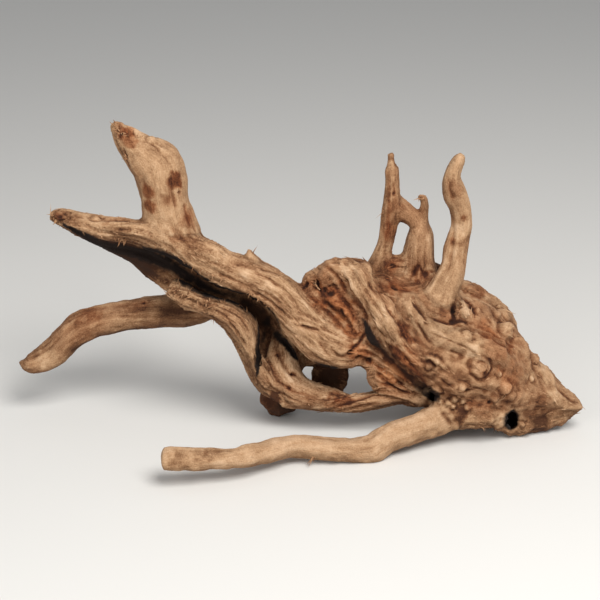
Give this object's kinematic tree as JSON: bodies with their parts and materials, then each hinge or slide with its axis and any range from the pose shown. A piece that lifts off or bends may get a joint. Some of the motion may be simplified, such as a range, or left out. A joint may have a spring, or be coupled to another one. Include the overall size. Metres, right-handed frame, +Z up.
{
  "type": "spiderwood root",
  "caption": "Bare branching driftwood root with a knotted crown, a split hollow trunk and crooked limbs, lying flat as an aquarium or terrarium ornament.",
  "frame": {"origin": "centre of the bounding box, on the surface the root lies on", "axes": "+X from the prong of the trunk to the pointed end of the crown, +Y to the back, +Z up"},
  "size_m": [0.465, 0.1776, 0.2559],
  "materials": {
    "spiderwood": "matte, weathered bare root wood with torn fibres and darker bark remnants"
  },
  "bodies": {
    "root": {"spiderwood_root": "spiderwood"}
  },
  "joints": []
}
